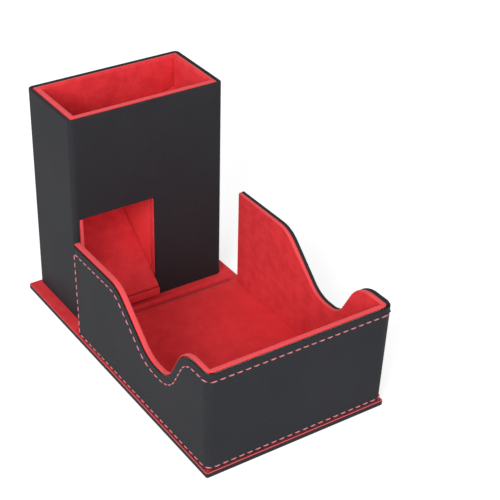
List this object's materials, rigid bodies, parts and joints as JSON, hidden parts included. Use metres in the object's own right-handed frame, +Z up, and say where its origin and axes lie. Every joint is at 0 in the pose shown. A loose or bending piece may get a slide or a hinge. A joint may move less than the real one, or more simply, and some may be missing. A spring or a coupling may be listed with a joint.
{
  "type": "folding dice tower",
  "caption": "Covered-board dice tower with a lined shaft, a sloping exit ramp and a scalloped walled tray that folds up round it on a soft hinge.",
  "frame": {"origin": "middle of the whole base at the surface that it rests on, with the tray open", "axes": "+X along the tower's width to its right, +Y from the tray towards the tower's back, +Z up"},
  "size_m": [0.1154, 0.2084, 0.1362],
  "materials": {
    "leatherette": "black leatherette with a fine diagonal twill emboss, satin",
    "velvet": "short-pile red velvet, matt with a soft sheen",
    "greyboard": "plain greyboard, hidden by its covers"
  },
  "bodies": {
    "base": {"base_skin": "leatherette", "base_board": "greyboard", "base_lining": "velvet", "hinge_skin": "leatherette", "hinge_lining": "velvet", "tower_skin": "leatherette", "tower_board_front": "greyboard", "tower_board_back": "greyboard", "tower_board_left": "greyboard", "tower_board_right": "greyboard", "liner_front": "velvet", "liner_front_board": "greyboard", "liner_back": "velvet", "liner_back_board": "greyboard", "liner_left": "velvet", "liner_left_board": "greyboard", "liner_right": "velvet", "liner_right_board": "greyboard", "divider": "velvet", "divider_board": "greyboard", "exit_ramp": "velvet", "exit_ramp_board": "greyboard", "upper_baffle": "velvet", "upper_baffle_board": "greyboard"},
    "tray": {"tray_base_skin": "leatherette", "tray_base_board": "greyboard", "tray_floor_lining": "velvet", "tray_wall_skin": "leatherette", "wall_board_left": "greyboard", "wall_board_right": "greyboard", "wall_board_front": "greyboard", "wall_lining_left": "velvet", "wall_lining_right": "velvet", "wall_lining_front": "velvet"}
  },
  "joints": [
    {"name": "tray_fold", "type": "hinge", "parent": "base", "child": "tray", "pos_m": [0, 0.04319, 0.00112], "axis": [-1, 0, 0], "range_deg": [0, 90]}
  ]
}
